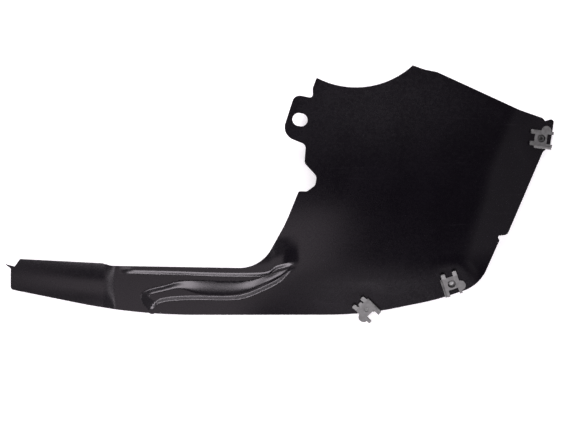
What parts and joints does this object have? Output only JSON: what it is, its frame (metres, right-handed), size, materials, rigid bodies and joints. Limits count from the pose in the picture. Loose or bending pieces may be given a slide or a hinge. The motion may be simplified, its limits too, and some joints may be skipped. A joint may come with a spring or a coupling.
{
  "type": "wheel arch liner panel",
  "caption": "Moulded wheel arch liner panel with a long ribbed arm, a slotted fixing ear, a round cut-out and spring nuts clipped over its edges.",
  "frame": {"origin": "centre of the bounding box, on the surface that the panel lies on", "axes": "+X along the length, from the arm's free end to the wide panel; +Y from the panel's lower edge to its round cut-out; +Z out of the outer face"},
  "size_m": [0.5774, 0.2713, 0.0337],
  "materials": {
    "panel": "black moulded polypropylene, fine grain, satin on the folds",
    "spring_steel": "zinc-plated spring steel, satin"
  },
  "bodies": {
    "root": {"liner_panel": "panel", "spring_nut_side": "spring_steel", "spring_nut_corner": "spring_steel", "spring_nut_lower": "spring_steel"}
  },
  "joints": []
}
